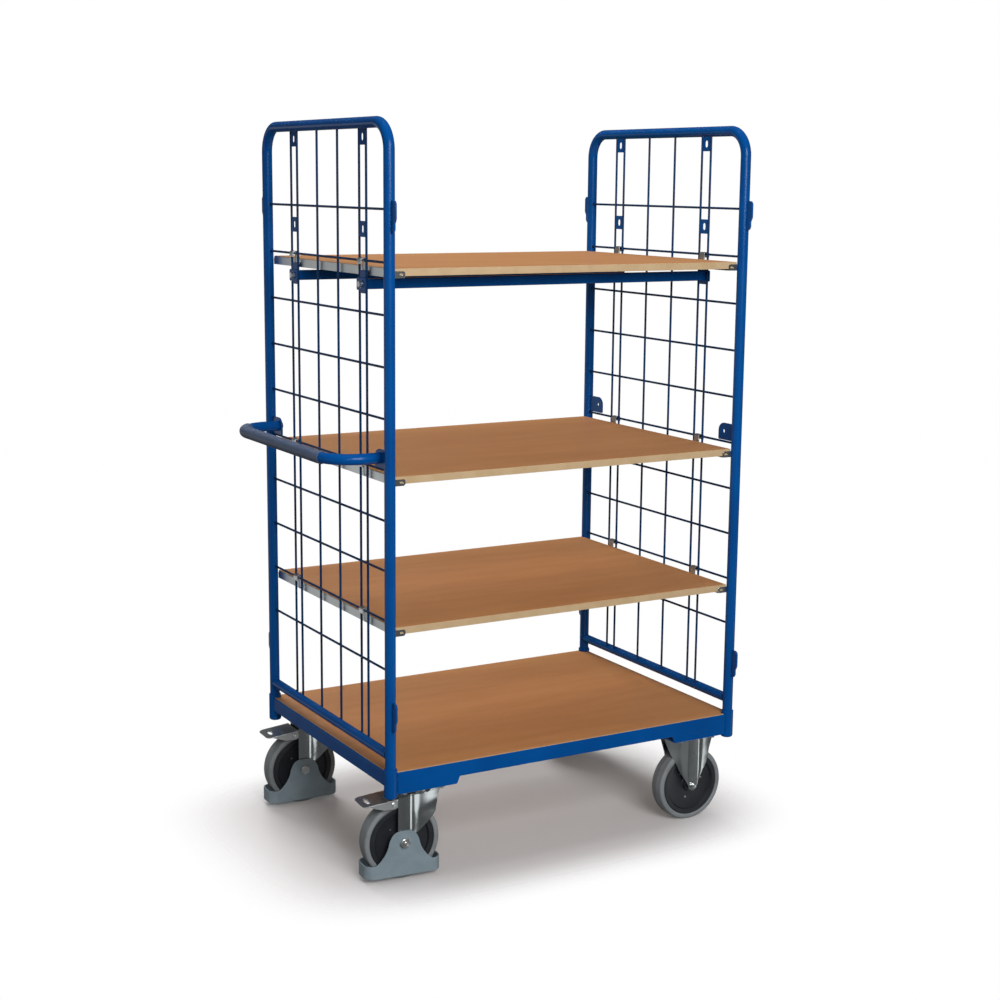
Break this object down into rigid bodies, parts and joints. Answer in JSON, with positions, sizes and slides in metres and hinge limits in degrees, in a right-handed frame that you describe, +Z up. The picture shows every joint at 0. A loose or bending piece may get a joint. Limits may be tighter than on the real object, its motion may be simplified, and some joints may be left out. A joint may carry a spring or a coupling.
{
  "type": "parcel trolley",
  "caption": "Tall parcel trolley: steel tube frame with wire panels at both ends, board deck, hooked-in board shelves, push handle and castors with brakes.",
  "frame": {"origin": "centre of the bounding box's footprint, on the floor that the wheels stand on", "axes": "+Z up, +X away from the person who pushes, +Y to that person's left"},
  "size_m": [1.1828, 0.798, 1.87],
  "materials": {
    "blue_paint": "deep blue powder coat, satin",
    "beech_board": "beech decor laminate, satin",
    "zinc_steel": "bright zinc plate, slightly uneven",
    "grey_tyre": "grey non-marking rubber, matt",
    "black_plastic": "black moulded plastic",
    "grey_plastic": "blue grey moulded plastic",
    "grip_plastic": "grey sleeve, matt"
  },
  "bodies": {
    "frame": {"base_rail_front_end": "blue_paint", "base_rail_handle_end": "blue_paint", "base_rail_left": "blue_paint", "base_rail_right": "blue_paint", "deck_board": "beech_board", "fixed_castor_left_axle": "zinc_steel", "fixed_castor_left_bracket": "zinc_steel", "fixed_castor_right_axle": "zinc_steel", "fixed_castor_right_bracket": "zinc_steel", "front_end_castor_mount_left": "blue_paint", "front_end_castor_mount_right": "blue_paint", "front_end_post_left": "blue_paint", "front_end_post_right": "blue_paint", "front_end_socket_left": "blue_paint", "front_end_socket_right": "blue_paint", "front_end_top_bar": "blue_paint", "front_end_wire_panel": "blue_paint", "handle_end_castor_mount_left": "blue_paint", "handle_end_castor_mount_right": "blue_paint", "handle_end_post_left": "blue_paint", "handle_end_post_right": "blue_paint", "handle_end_socket_left": "blue_paint", "handle_end_socket_right": "blue_paint", "handle_end_top_bar": "blue_paint", "handle_end_wire_panel": "blue_paint", "handle_grip": "grip_plastic", "lower_shelf_board": "beech_board", "lower_shelf_front_end_rail": "zinc_steel", "lower_shelf_handle_end_rail": "zinc_steel", "middle_shelf_board": "beech_board", "middle_shelf_front_end_rail": "zinc_steel", "middle_shelf_handle_end_rail": "zinc_steel", "push_handle": "blue_paint", "stay_bar_left": "blue_paint", "stay_bar_left_front_end_clamp": "blue_paint", "stay_bar_left_handle_end_clamp": "blue_paint", "stay_bar_right": "blue_paint", "stay_bar_right_front_end_clamp": "blue_paint", "stay_bar_right_handle_end_clamp": "blue_paint", "swivel_castor_left_top_plate": "zinc_steel", "swivel_castor_right_top_plate": "zinc_steel", "upper_shelf_board": "beech_board", "upper_shelf_front_end_rail": "zinc_steel", "upper_shelf_handle_end_rail": "zinc_steel"},
    "swivel_castor_left_fork_body": {"swivel_castor_left_fork": "zinc_steel", "swivel_castor_left_foot_guard": "grey_plastic", "swivel_castor_left_axle": "zinc_steel"},
    "swivel_castor_left_wheel_body": {"swivel_castor_left_tyre": "grey_tyre", "swivel_castor_left_wheel_centre": "black_plastic"},
    "swivel_castor_left_pedal_body": {"swivel_castor_left_brake_pedal": "zinc_steel"},
    "fixed_castor_left_wheel_body": {"fixed_castor_left_tyre": "grey_tyre", "fixed_castor_left_wheel_centre": "black_plastic"},
    "swivel_castor_right_fork_body": {"swivel_castor_right_fork": "zinc_steel", "swivel_castor_right_foot_guard": "grey_plastic", "swivel_castor_right_axle": "zinc_steel"},
    "swivel_castor_right_wheel_body": {"swivel_castor_right_tyre": "grey_tyre", "swivel_castor_right_wheel_centre": "black_plastic"},
    "swivel_castor_right_pedal_body": {"swivel_castor_right_brake_pedal": "zinc_steel"},
    "fixed_castor_right_wheel_body": {"fixed_castor_right_tyre": "grey_tyre", "fixed_castor_right_wheel_centre": "black_plastic"}
  },
  "joints": [
    {"name": "swivel_castor_left_swivel", "type": "hinge", "parent": "frame", "child": "swivel_castor_left_fork_body", "pos_m": [-0.3566, 0.312, 0.23], "axis": [0, 0, 1], "continuous": true},
    {"name": "swivel_castor_left_wheel_turn", "type": "hinge", "parent": "swivel_castor_left_fork_body", "child": "swivel_castor_left_wheel_body", "pos_m": [-0.40157, 0.31357, 0.1], "axis": [0.0349, 0.9994, 0], "continuous": true},
    {"name": "swivel_castor_left_brake", "type": "hinge", "parent": "swivel_castor_left_fork_body", "child": "swivel_castor_left_pedal_body", "pos_m": [-0.43155, 0.31462, 0.204], "axis": [0.0349, 0.9994, 0], "range_deg": [-12, 0]},
    {"name": "fixed_castor_left_wheel_turn", "type": "hinge", "parent": "frame", "child": "fixed_castor_left_wheel_body", "pos_m": [0.4794, 0.312, 0.1], "axis": [0, 1, 0], "continuous": true},
    {"name": "swivel_castor_right_swivel", "type": "hinge", "parent": "frame", "child": "swivel_castor_right_fork_body", "pos_m": [-0.3566, -0.312, 0.23], "axis": [0, 0, 1], "continuous": true},
    {"name": "swivel_castor_right_wheel_turn", "type": "hinge", "parent": "swivel_castor_right_fork_body", "child": "swivel_castor_right_wheel_body", "pos_m": [-0.40143, -0.30808, 0.1], "axis": [0.0872, 0.9962, 0], "continuous": true},
    {"name": "swivel_castor_right_brake", "type": "hinge", "parent": "swivel_castor_right_fork_body", "child": "swivel_castor_right_pedal_body", "pos_m": [-0.43132, -0.30546, 0.204], "axis": [0.0872, 0.9962, 0], "range_deg": [-12, 0]},
    {"name": "fixed_castor_right_wheel_turn", "type": "hinge", "parent": "frame", "child": "fixed_castor_right_wheel_body", "pos_m": [0.4794, -0.312, 0.1], "axis": [0, 1, 0], "continuous": true}
  ]
}
